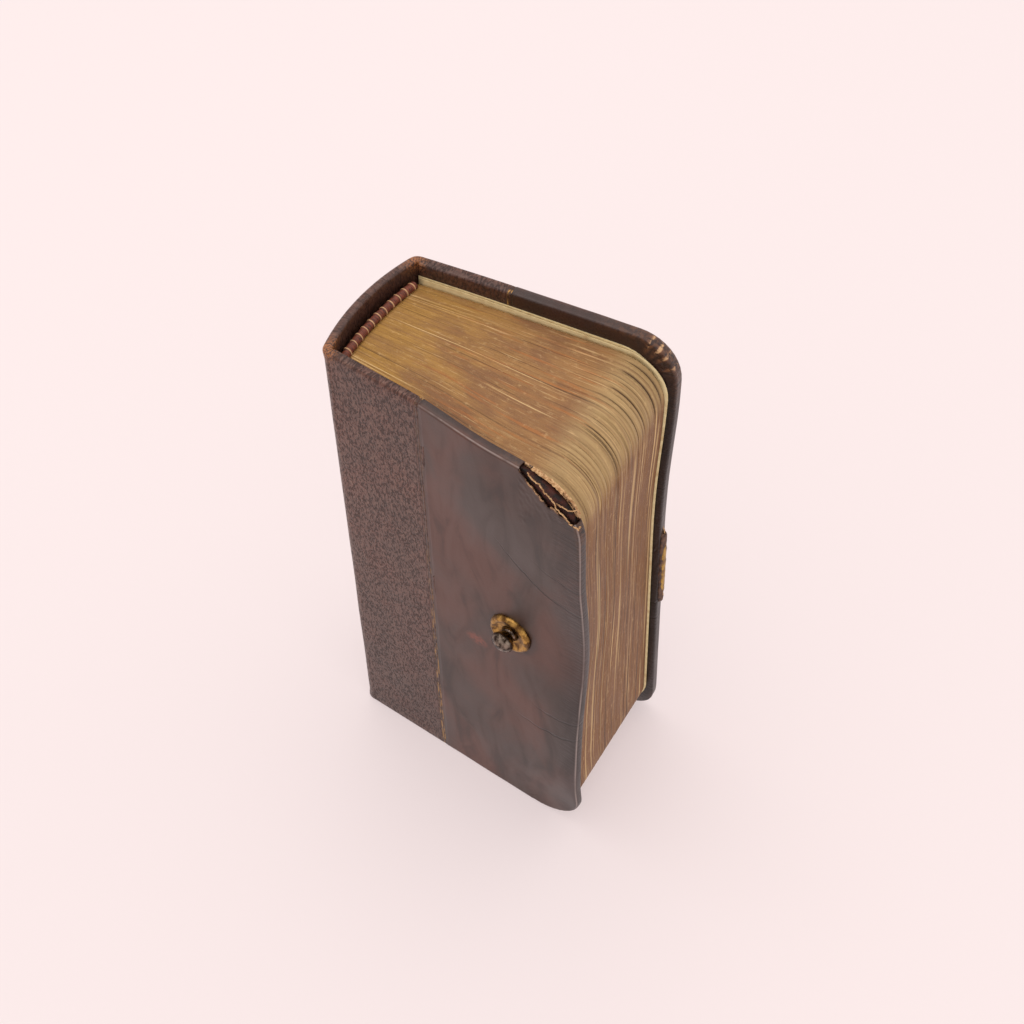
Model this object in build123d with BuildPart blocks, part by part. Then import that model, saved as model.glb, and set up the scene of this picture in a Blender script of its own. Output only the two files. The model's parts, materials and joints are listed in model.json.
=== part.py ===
from build123d import *
import math
import os

os.makedirs("parts", exist_ok=True)

# A small, thick quarter-bound leather book standing on its tail. All sizes in mm.
# +Z runs from tail to head, +X from spine to fore-edge, and the front cover faces -Y.

# Covers
cover_height = 125.0      # tail edge to head edge
cover_width = 63.5        # hinge line to fore-edge
cover_corner = 13.0       # round corners at the fore-edge
fore_splay = 4.7          # how far each cover leans out at the fore-edge
spine_thickness = 33.4    # over both covers, at the spine
board = 1.6               # pasteboard
leather = 0.75            # covering leather
turn_in = 0.35            # leather pared thin where it is turned over the board
turn_in_width = 12.0      # how far the leather is turned in
quarter_width = 24.8      # grained spine leather's reach over each board
edge_round = 0.7          # outer rim of a covered board
inner_round = 0.3         # inner rim of a covered board
board_start = 1.7         # board's spine edge, from the hinge line

# Spine
spine_bulge = 2.9         # hinge line to the outermost point of the spine
inlay = 0.5               # card strip that stiffens the spine leather
spine_side_gap = 2.1      # the spine's stiff part stops this short of each hinge line
joint_bead = 0.8          # radius of the leather along each hinge line
joint_clearance = 0.25    # between that leather and the cover

# Text block
head_square = 4.5         # cover's overhang at the head
tail_square = 3.5         # cover's overhang at the tail
fore_square = 1.8         # cover's overhang at the fore-edge
text_back = 2.0           # hinge line to the text block's spine corners
text_bulge = 1.3          # rounding of the text block's back
text_corner = 10.0        # round fore-edge corners of the leaves
endpaper = 0.2            # pastedowns and flyleaves
paste_margin = 3.4        # cover edge to pastedown edge
leaf_clearance = 0.2      # between a pastedown and its flyleaf
lining = 0.4              # cloth glued to the back
lining_margin = 8.0       # lining stops this short of head and tail
band_radius = 1.0         # sewn head and tail bands
band_sink = 0.45          # how far a band's centre lies under its own radius
band_end_gap = 0.6        # band stops this short of the text block's sides
cord_radius = 0.55        # recessed sewing cords
kerf = 1.3                # saw cut that holds a cord, square in section
cord_heights = {"head": 100.0, "middle": 62.0, "tail": 24.0}

# Clasp stud on the front cover
stud_across = 46.0        # hinge line to the stud
stud_height = 67.0        # above the tail edge
washer_radius = 5.25
washer_rim = 1.2          # height of the washer's rolled rim
dish_radius = 3.3
dish_floor = 0.45
shank_radius = 1.0
shank_clearance = 0.05
collar_radius = 2.1
neck_radius = 1.5
neck_height = 1.5
knob_radius = 2.75
knob_tip_radius = 1.4
stud_reach = 4.7          # leather surface to the knob's tip
burr_radius = 2.6         # rivet washer inside the board

# Torn clasp strap on the back cover's fore-edge
strap_height = 59.0
stub_length = 24.0
stub_width = 2.2
stub_thickness = 0.9
plate_length = 17.0
plate_width = 1.3
plate_thickness = 0.6

# Levels through a cover, measured outwards from the hinge line, which lies in mid-leather
face_level = leather / 2
board_outer = -leather / 2
board_inner = board_outer - board
turn_in_level = board_inner - turn_in
paste_level = turn_in_level - endpaper
leaf_level = paste_level - leaf_clearance
text_level = leaf_level - endpaper
rim_level = (face_level + turn_in_level) / 2

splay = math.degrees(math.asin(fore_splay / cover_width))
lean = math.radians(splay)
hinge_offset = spine_thickness / 2 - face_level
hinge_gap = joint_bead + joint_clearance
tail_level = tail_square
head_level = cover_height - head_square

# The origin is the centre of the whole book's box, on the surface it stands on
stub_low = rim_level - stub_width / 2
fore_reach = (cover_width + stub_thickness) * math.cos(lean) - stub_low * math.sin(lean)
hinge_x = (spine_bulge - fore_reach) / 2
cover_reach = hinge_offset + cover_width * math.sin(lean) + face_level * math.cos(lean)
stud_lean = hinge_offset + stud_across * math.sin(lean)
knob_reach = stud_lean + (face_level + stud_reach) * math.cos(lean)
mid_y = (max(cover_reach, knob_reach) - cover_reach) / 2


def cover_plane(side):
    # Local x runs to the fore-edge, z outwards; side is -1 for the front, 1 for the back
    return Plane(
        origin=(hinge_x, mid_y + side * hinge_offset, cover_height / 2),
        x_dir=(math.cos(lean), side * math.sin(lean), 0),
        z_dir=(-math.sin(lean), side * math.cos(lean), 0),
    )


def plan_point(across, level, side):
    # The same point of a cover as seen from above
    x = hinge_x + across * math.cos(lean) - level * math.sin(lean)
    y = hinge_offset + across * math.sin(lean) + level * math.cos(lean)
    return (x, mid_y + side * y)


def circle_point(centre_x, radius, angle):
    return (centre_x - radius * math.cos(angle), mid_y + radius * math.sin(angle))


front_plane = cover_plane(-1)
back_plane = cover_plane(1)
stud_base = front_plane.from_local_coords((stud_across, stud_height - cover_height / 2, 0))
stud_plane = Plane(origin=stud_base, x_dir=front_plane.x_dir, z_dir=front_plane.z_dir)
stud_axis = Axis(stud_base, front_plane.z_dir)
stud_section = Plane(
    origin=stud_plane.from_local_coords((0, 0, face_level)),
    x_dir=front_plane.x_dir,
    z_dir=(0, 0, -1),
)

# Arc of the spine, through both hinge lines, and arc of the text block's back
spine_rise = spine_bulge - leather / 2
spine_radius = (hinge_offset**2 + spine_rise**2) / (2 * spine_rise)
spine_centre = hinge_x - spine_rise + spine_radius
spine_angle = math.asin(hinge_offset / spine_radius)
stiff_half = hinge_offset - spine_side_gap
inlay_outer = spine_radius - leather / 2
inlay_inner = inlay_outer - inlay
spine_inner = inlay_inner - leather

back_x, back_low_y = plan_point(text_back, text_level, -1)
back_half = mid_y - back_low_y
back_radius = (back_half**2 + text_bulge**2) / (2 * text_bulge)
back_centre = back_x - text_bulge + back_radius
back_angle = math.asin((back_half - band_end_gap) / back_radius)


def panel(start, margin):
    # Cover's outline inside a margin, from a distance past the hinge line
    length = cover_width - margin - start
    with Locations((start + length / 2, 0)):
        Rectangle(length, cover_height - 2 * margin)
    if margin < cover_corner:
        fillet(vertices().group_by(Axis.X)[-1], cover_corner - margin)


def arc_band(centre_x, inner_radius, outer_radius, inner_angle, outer_angle):
    # Curved strip on the spine side of a circle, seen from above
    inner = [circle_point(centre_x, inner_radius, a) for a in (-inner_angle, 0, inner_angle)]
    outer = [circle_point(centre_x, outer_radius, a) for a in (-outer_angle, 0, outer_angle)]
    with BuildLine() as outline:
        ThreePointArc(*inner)
        Line(inner[2], outer[2])
        ThreePointArc(*outer)
        Line(outer[0], inner[0])
    make_face(outline.edges())


def stiff_band(inner_radius, outer_radius):
    # Strip of the spine that stops short of both hinge lines
    inner_angle = math.asin(stiff_half / inner_radius)
    arc_band(spine_centre, inner_radius, outer_radius, inner_angle, inner_angle)


def wrap_leather(plane):
    # Leather over the board's face, edges and a turned-in border, open at the spine end
    with BuildSketch(plane.offset(turn_in_level)) as cover:
        panel(hinge_gap, 0)
    extrude(cover.sketch, amount=face_level - turn_in_level)
    outward = Axis(plane.origin, plane.z_dir)
    across = Axis(plane.origin, plane.x_dir)
    fillet(edges().group_by(outward)[-1].sort_by(across)[1:], edge_round)
    fillet(edges().group_by(outward)[0].sort_by(across)[1:], inner_round)
    with BuildSketch(plane.offset(board_inner)) as pocket:
        panel(0, leather)
    extrude(pocket.sketch, amount=board, mode=Mode.SUBTRACT)
    with BuildSketch(plane.offset(turn_in_level)) as window:
        panel(0, turn_in_width)
    extrude(window.sketch, amount=turn_in, mode=Mode.SUBTRACT)


def seam(plane):
    # Where the grained leather meets the smooth leather
    return Plane(origin=plane.from_local_coords((quarter_width, 0, 0)), z_dir=plane.x_dir)


def lay_pastedown(plane):
    # Endpaper pasted to the board, with the paper that fills the space inside the turn-ins
    with BuildSketch(plane.offset(paste_level)) as sheet:
        panel(board_start, paste_margin)
    extrude(sheet.sketch, amount=endpaper)
    with BuildSketch(plane.offset(turn_in_level)) as filling:
        panel(board_start, turn_in_width)
    extrude(filling.sketch, amount=turn_in)


def recess_burr():
    # Room for the rivet washer under the pastedown
    with BuildSketch(stud_plane.offset(turn_in_level)) as recess:
        Circle(burr_radius + shank_clearance)
    extrude(recess.sketch, amount=turn_in, mode=Mode.SUBTRACT)


def round_leaves():
    # Trim the leaves to their round fore-edge corners
    with BuildSketch(Plane.XZ.offset(-mid_y)) as leaf:
        with Locations((text_fore - cover_width / 2, (head_level + tail_level) / 2)):
            Rectangle(cover_width, head_level - tail_level)
        fillet(vertices().group_by(Axis.X)[-1], text_corner)
    extrude(leaf.sketch, amount=spine_thickness, both=True, mode=Mode.INTERSECT)


def lay_flyleaf(side):
    # Loose endpaper lying on the text block
    spine_end = plan_point(text_back, text_level, side)
    fore_end = (text_fore, plan_point(fore_across, text_level, side)[1])
    step = side * endpaper / math.cos(lean)
    with BuildSketch(Plane.XY.offset(tail_level)) as leaf:
        with BuildLine():
            Polyline(
                spine_end,
                fore_end,
                (fore_end[0], fore_end[1] + step),
                (spine_end[0], spine_end[1] + step),
                close=True,
            )
        make_face()
    extrude(leaf.sketch, amount=head_level - tail_level)
    round_leaves()


def lay_roll(depth, height, radius):
    # Round cord or band along the text block's rounded back, a depth inside it
    reach = back_radius - depth
    ends = [circle_point(back_centre, reach, a) for a in (-back_angle, 0, back_angle)]
    with BuildLine() as path:
        ThreePointArc(*[(x, y, height) for x, y in ends])
    with BuildSketch(Plane(origin=path.line @ 0, z_dir=path.line % 0)) as section:
        Circle(radius)
    sweep(section.sketch, path=path.line)


# Text block: all the leaves as one solid, sawn across the back for the cords
fore_across = cover_width - fore_square
text_fore = plan_point(fore_across, text_level, -1)[0]

with BuildPart() as text_block:
    front_spine = plan_point(text_back, text_level, -1)
    front_fore = plan_point(fore_across, text_level, -1)
    back_fore = plan_point(fore_across, text_level, 1)
    back_spine = plan_point(text_back, text_level, 1)
    with BuildSketch(Plane.XY.offset(tail_level)):
        with BuildLine():
            Polyline(front_spine, front_fore, back_fore, back_spine)
            ThreePointArc(back_spine, circle_point(back_centre, back_radius, 0), front_spine)
        make_face()
    extrude(amount=head_level - tail_level)
    round_leaves()
    for height in cord_heights.values():
        with BuildSketch(Plane.XY.offset(height - kerf / 2)):
            with Locations((back_centre, mid_y)):
                Circle(back_radius + kerf)
                Circle(back_radius - kerf, mode=Mode.SUBTRACT)
        extrude(amount=kerf, mode=Mode.SUBTRACT)

with BuildPart() as front_flyleaf:
    lay_flyleaf(-1)

with BuildPart() as back_flyleaf:
    lay_flyleaf(1)

# Sewing cords let into the back
cords = {}
for place, height in cord_heights.items():
    with BuildPart() as cord:
        lay_roll(kerf / 2, height, cord_radius)
    cords[place] = cord

# Cloth lining over the back, and the sewn bands at head and tail
with BuildPart() as spine_lining:
    with BuildSketch(Plane.XY.offset(tail_level + lining_margin)):
        arc_band(back_centre, back_radius, back_radius + lining, back_angle, back_angle)
    extrude(amount=head_level - tail_level - 2 * lining_margin)

with BuildPart() as head_band:
    lay_roll(band_radius, head_level + band_radius - band_sink, band_radius)
    split(bisect_by=Plane.XY.offset(head_level), keep=Keep.TOP)

with BuildPart() as tail_band:
    mirror(head_band.part, about=Plane.XY.offset((head_level + tail_level) / 2))

# Spine: card strip, and the leather folded over its head and tail
with BuildPart() as spine_inlay:
    with BuildSketch(Plane.XY.offset(leather)):
        stiff_band(inlay_inner, inlay_outer)
    extrude(amount=cover_height - 2 * leather)

with BuildPart() as spine_leather:
    with BuildSketch():
        outer_radius = spine_radius + leather / 2
        arc_band(spine_centre, inlay_outer, outer_radius, spine_angle, spine_angle)
        with Locations((hinge_x, mid_y - hinge_offset), (hinge_x, mid_y + hinge_offset)):
            Circle(joint_bead)
    extrude(amount=cover_height)
    for base in (0, cover_height - turn_in_width):
        with BuildSketch(Plane.XY.offset(base)):
            stiff_band(spine_inner, inlay_inner)
        extrude(amount=turn_in_width)
    for base in (0, cover_height - leather):
        with BuildSketch(Plane.XY.offset(base)):
            stiff_band(inlay_inner, inlay_outer)
        extrude(amount=leather)

# Covered boards
with BuildPart() as front_board:
    with BuildSketch(front_plane.offset(board_inner)):
        panel(board_start, leather)
    extrude(amount=board)
    with Locations(stud_plane):
        Hole(shank_radius + shank_clearance)

with BuildPart() as back_board:
    with BuildSketch(back_plane.offset(board_inner)):
        panel(board_start, leather)
    extrude(amount=board)

with BuildPart() as front_quarter:
    wrap_leather(front_plane)
    split(bisect_by=seam(front_plane), keep=Keep.BOTTOM)

with BuildPart() as back_quarter:
    wrap_leather(back_plane)
    split(bisect_by=seam(back_plane), keep=Keep.BOTTOM)

with BuildPart() as front_siding:
    wrap_leather(front_plane)
    split(bisect_by=seam(front_plane), keep=Keep.TOP)
    with Locations(stud_plane):
        Hole(shank_radius + shank_clearance)
    recess_burr()

with BuildPart() as back_siding:
    wrap_leather(back_plane)
    split(bisect_by=seam(back_plane), keep=Keep.TOP)

with BuildPart() as front_pastedown:
    lay_pastedown(front_plane)
    recess_burr()

with BuildPart() as back_pastedown:
    lay_pastedown(back_plane)

# Clasp stud: dished washer, turned knob riveted through the board, and the burr inside
with BuildPart() as clasp_washer:
    crest_radius = (washer_radius + dish_radius) / 2
    with BuildSketch(stud_section):
        with BuildLine():
            Polyline(
                (dish_radius, dish_floor),
                (shank_radius + shank_clearance, dish_floor),
                (shank_radius + shank_clearance, 0),
                (washer_radius, 0),
            )
            ThreePointArc((washer_radius, 0), (crest_radius, washer_rim), (dish_radius, dish_floor))
        make_face()
    revolve(axis=stud_axis)

with BuildPart() as clasp_stud:
    shank_end = turn_in_level - face_level
    knob_middle = (neck_height + stud_reach) / 2
    with BuildSketch(stud_section):
        with BuildLine():
            Polyline(
                (0, stud_reach),
                (0, shank_end),
                (shank_radius, shank_end),
                (shank_radius, dish_floor),
                (collar_radius, dish_floor),
                (neck_radius, neck_height),
            )
            ThreePointArc(
                (neck_radius, neck_height),
                (knob_radius, knob_middle),
                (knob_tip_radius, stud_reach),
            )
            Line((knob_tip_radius, stud_reach), (0, stud_reach))
        make_face()
    revolve(axis=stud_axis)

with BuildPart() as clasp_burr:
    with BuildSketch(stud_plane.offset(turn_in_level)):
        Circle(burr_radius)
        Circle(shank_radius + shank_clearance, mode=Mode.SUBTRACT)
    extrude(amount=turn_in)

# What is left of the clasp strap: its torn leather end round a narrow brass plate
strap_x, strap_y = plan_point(cover_width, rim_level, 1)
strap_plane = Plane(origin=(strap_x, strap_y, strap_height), x_dir=(0, 0, 1), z_dir=back_plane.x_dir)

with BuildPart() as strap_stub:
    with BuildSketch(strap_plane):
        SlotOverall(stub_length, stub_width)
        SlotOverall(plate_length, plate_width, mode=Mode.SUBTRACT)
    extrude(amount=stub_thickness)

with BuildPart() as strap_plate:
    with BuildSketch(strap_plane):
        SlotOverall(plate_length, plate_width)
    extrude(amount=plate_thickness)

pieces = {
    "text_block": text_block,
    "front_flyleaf": front_flyleaf,
    "back_flyleaf": back_flyleaf,
    "spine_lining": spine_lining,
    "head_band": head_band,
    "tail_band": tail_band,
    "spine_inlay": spine_inlay,
    "spine_leather": spine_leather,
    "front_board": front_board,
    "back_board": back_board,
    "front_quarter": front_quarter,
    "back_quarter": back_quarter,
    "front_siding": front_siding,
    "back_siding": back_siding,
    "front_pastedown": front_pastedown,
    "back_pastedown": back_pastedown,
    "clasp_washer": clasp_washer,
    "clasp_stud": clasp_stud,
    "clasp_burr": clasp_burr,
    "strap_stub": strap_stub,
    "strap_plate": strap_plate,
}
for place, cord in cords.items():
    pieces["sewing_cord_" + place] = cord

for name, piece in pieces.items():
    piece.part.label = name
    export_step(piece.part, "parts/" + name + ".step")
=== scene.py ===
import json
import math
import random
from functools import partial

import bmesh
import bpy
from mathutils import Matrix, Vector, noise
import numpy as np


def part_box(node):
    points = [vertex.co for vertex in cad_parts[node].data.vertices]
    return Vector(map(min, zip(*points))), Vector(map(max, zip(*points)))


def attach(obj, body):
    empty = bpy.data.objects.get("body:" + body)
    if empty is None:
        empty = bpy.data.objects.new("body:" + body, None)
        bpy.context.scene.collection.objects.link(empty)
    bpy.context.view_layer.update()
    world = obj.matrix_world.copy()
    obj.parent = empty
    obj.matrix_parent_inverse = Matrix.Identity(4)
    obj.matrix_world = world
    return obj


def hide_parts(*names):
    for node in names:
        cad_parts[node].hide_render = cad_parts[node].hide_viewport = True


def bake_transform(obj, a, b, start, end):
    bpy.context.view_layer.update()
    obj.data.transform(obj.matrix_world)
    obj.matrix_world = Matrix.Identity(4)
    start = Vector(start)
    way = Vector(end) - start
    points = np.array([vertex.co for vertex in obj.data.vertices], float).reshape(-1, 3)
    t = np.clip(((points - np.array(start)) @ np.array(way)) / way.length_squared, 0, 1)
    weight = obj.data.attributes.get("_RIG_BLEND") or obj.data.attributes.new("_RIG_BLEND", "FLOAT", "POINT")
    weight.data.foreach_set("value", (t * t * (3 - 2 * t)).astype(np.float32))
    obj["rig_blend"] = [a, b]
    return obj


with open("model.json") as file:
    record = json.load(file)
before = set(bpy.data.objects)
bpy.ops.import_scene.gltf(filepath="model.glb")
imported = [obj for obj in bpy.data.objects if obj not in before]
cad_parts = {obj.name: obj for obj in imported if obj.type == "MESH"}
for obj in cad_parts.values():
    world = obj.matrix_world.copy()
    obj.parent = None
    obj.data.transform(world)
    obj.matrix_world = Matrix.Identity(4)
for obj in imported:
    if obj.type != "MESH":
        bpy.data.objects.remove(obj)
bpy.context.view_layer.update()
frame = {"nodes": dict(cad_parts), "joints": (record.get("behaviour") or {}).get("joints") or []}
scene = bpy.context.scene
print("frame loaded")

# Lengths are in millimetres up to the point where a mesh is finished
mm = 0.001
jointAt = {joint["name"]: Vector(joint["pos_m"]) / mm for joint in frame["joints"]}
frontHinge = jointAt["front_cover_hinge"]
backHinge = jointAt["back_cover_hinge"]
hingeX = frontHinge.x
midY = (frontHinge.y + backHinge.y) / 2
hingeOffset = (backHinge.y - frontHinge.y) / 2
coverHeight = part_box("front_quarter")[1][2] / mm

front = -1
back = 1
book = {
    "width": 63.5,
    "splay": 4.7,
    "corners": {front: 13.0, back: 10.2},
    "face": 0.375,
    "inner": {front: -1.75, back: -2.325},
    "text": {front: -2.3, back: -3.6},
    "spineRise": 2.525,
    "tail": 3.5,
    "head": 120.5,
    "textWidth": 61.7,
    "textStart": 2.0,
    "textBulge": 1.3,
    "seam": 24.2,
    "bend": 1.6,
}
lean = math.asin(book["splay"] / book["width"])
spineRadius = (hingeOffset**2 + book["spineRise"] ** 2) / (2 * book["spineRise"])
spineAngle = math.asin(hingeOffset / spineRadius)
spineHalf = spineRadius * spineAngle
spineCentre = hingeX - book["spineRise"] + spineRadius
# Where the clasp parts are: the leather is marked by both
clasp = {"across": 46.0, "height": 67.0, "dents": 0.12}
strap = {"height": 59.0, "across": 63.3, "level": -0.975}


def ease(low, high, value):
    t = min(max((value - low) / (high - low), 0), 1)
    return t * t * (3 - 2 * t)


def mix(a, b, t):
    return a + (b - a) * t


def hump(centre, width, value):
    return math.exp(-(((value - centre) / width) ** 2))


def wander(x, y=0.0, z=0.0):
    return noise.noise(Vector((x, y, z)))


def coverShift(side, across, height):
    # How the old covers have warped: along the cover, and outwards
    share = max(across, 0) / book["width"]
    if side == front:
        slide = mix(1.2, 0.4, height / coverHeight) * share
        rim = ease(46, 63.5, across)
        bow = rim * (ease(2, 24, height) * (1 - ease(92, 108, height)) - 2.4 * hump(70, 20, height))
        bow += 1.45 * ease(20, 43, across) * ease(86, 112, height)
        bow -= share * (1 - ease(0, 22, height))
    else:
        slide = mix(0, -3.5, height / coverHeight) * share
        bow = -2.0 * ease(15, 63.5, across) * ease(-6, 10, height) * (1 - ease(72, 110, height))
        bow += 1.6 * share**0.7 * ease(84, 115, height)
        bow += (0.5 * share + 0.15 * ease(0, 20, across)) * ease(90, 125, height)
    return slide, bow


def coverPoint(side, across, level, height):
    slide, bow = coverShift(side, across, height)
    x = hingeX + across * math.cos(lean) - level * math.sin(lean) + slide
    y = hingeOffset + across * math.sin(lean) + level * math.cos(lean) + bow
    return Vector((x, midY + side * y, height))


def layPoint(side, across, level, height):
    # A point of the covering leather: round the spine for across below zero, along the cover above it
    bend = book["bend"]
    if across >= bend:
        return coverPoint(side, across, level, height)

    def onSpine(along, out):
        angle = spineAngle - along / spineRadius
        reach = spineRadius + out
        return Vector((spineCentre - reach * math.cos(angle), reach * math.sin(angle)))

    if across <= -bend:
        x, y = onSpine(-across, level)
        return Vector((x, midY + side * y, height))
    start = onSpine(bend, 0)
    turn = Vector((hingeX, hingeOffset))
    cover = coverPoint(back, bend, 0, height)
    end = Vector((cover.x, cover.y - midY))
    t = (across + bend) / (2 * bend)
    spot = start * (1 - t) ** 2 + turn * (2 * t * (1 - t)) + end * t**2
    tangent = ((turn - start) * (1 - t) + (end - turn) * t).normalized()
    spot += Vector((-tangent.y, tangent.x)) * level
    return Vector((spot.x, midY + side * spot.y, height))


def textPoint(across, height, depth):
    # A point of the leaves; depth runs from 0 at the front to 1 at the back
    near = coverPoint(front, across, book["text"][front], height)
    far = coverPoint(back, across, book["text"][back], height)
    spot = near.lerp(far, depth)
    share = max(1 - (across - book["textStart"]) / 20, 0)
    spot.x -= book["textBulge"] * (1 - (2 * depth - 1) ** 2) * share**3
    return spot


# Meshes


def finishMesh(name, bm, material, thickness=0.0, flip=False):
    if flip:
        bmesh.ops.reverse_faces(bm, faces=bm.faces[:])
    bmesh.ops.scale(bm, vec=Vector((mm, mm, mm)), verts=bm.verts[:])
    mesh = bpy.data.meshes.new(name)
    bm.to_mesh(mesh)
    bm.free()
    mesh.shade_smooth()
    piece = bpy.data.objects.new(name, mesh)
    scene.collection.objects.link(piece)
    piece.data.materials.append(material)
    if thickness:
        shell = piece.modifiers.new("Shell", "SOLIDIFY")
        shell.thickness = thickness * mm
        shell.offset = -1
        shell.use_even_offset = False
    return piece


def makeGrid(columns, rows):
    # Grid of vertices with their column and row number, to be placed by the caller
    bm = bmesh.new()
    bmesh.ops.create_grid(bm, x_segments=columns - 1, y_segments=rows - 1, size=1)
    lay = bm.verts.layers.float_vector.new("lay")
    bm.verts.layers.float_vector.new("outward")
    bm.verts.layers.float.new("worn")
    bm.verts.layers.float.new("folded")
    spots = {}
    for vert in bm.verts:
        column = round((vert.co.x + 1) / 2 * (columns - 1))
        row = round((vert.co.y + 1) / 2 * (rows - 1))
        spots[vert] = (column, row)
    return bm, lay, spots


def spread(start, end, count):
    return [mix(start, end, i / count) for i in range(count + 1)]


def cornerRows(inset, radius, low, high, step):
    # Heights of the rows of a panel with two round corners, and how far each row stops short
    arc = max(radius - inset, 0.5)
    turns = [math.radians(angle) for angle in spread(0, 90, 10)]
    rows = [(low + inset + arc * (1 - math.cos(a)), arc * (1 - math.sin(a)), a) for a in turns]
    count = round((high - low - 2 * radius) / step)
    middle = [(z, 0, math.pi / 2) for z in spread(low + radius, high - radius, count)[1:-1]]
    top = [(low + high - z, short, math.pi - a) for z, short, a in reversed(rows)]
    return rows + middle + top


def outlineNormal(angle):
    return Vector((math.sin(angle), -math.cos(angle)))


# Materials

smooth = {"interpolation_type": "SMOOTHSTEP"}
rgba = {"output": 2, "data_type": "RGBA"}


def colour(code):
    # sRGB hex code to linear
    parts = [int(code[i : i + 2], 16) / 255 for i in (1, 3, 5)]
    linear = [p / 12.92 if p <= 0.04045 else ((p + 0.055) / 1.055) ** 2.4 for p in parts]
    return (*linear, 1.0)


def setSockets(tree, node, sockets):
    for name, value in sockets.items():
        socket = node.inputs[name]
        if isinstance(value, bpy.types.NodeSocket):
            tree.links.new(value, socket)
        else:
            socket.default_value = value


def addNode(tree, kind, sockets=(), output=0, **settings):
    # Sockets are given by name or number, or in their own order
    node = tree.nodes.new("ShaderNode" + kind)
    for name, value in settings.items():
        setattr(node, name, value)
    setSockets(tree, node, sockets if isinstance(sockets, dict) else dict(enumerate(sockets)))
    return node.outputs[output]


def newMaterial(name):
    material = bpy.data.materials.new(name)
    material.use_nodes = True
    tree = material.node_tree
    return material, partial(addNode, tree), partial(setSockets, tree, tree.nodes["Principled BSDF"])


def layOf(add):
    # The piece's own coordinates in millimetres, together and one by one
    place = add("Attribute", output=1, attribute_name="lay")
    return place, *add("SeparateXYZ", (place,), slice(3))


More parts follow.
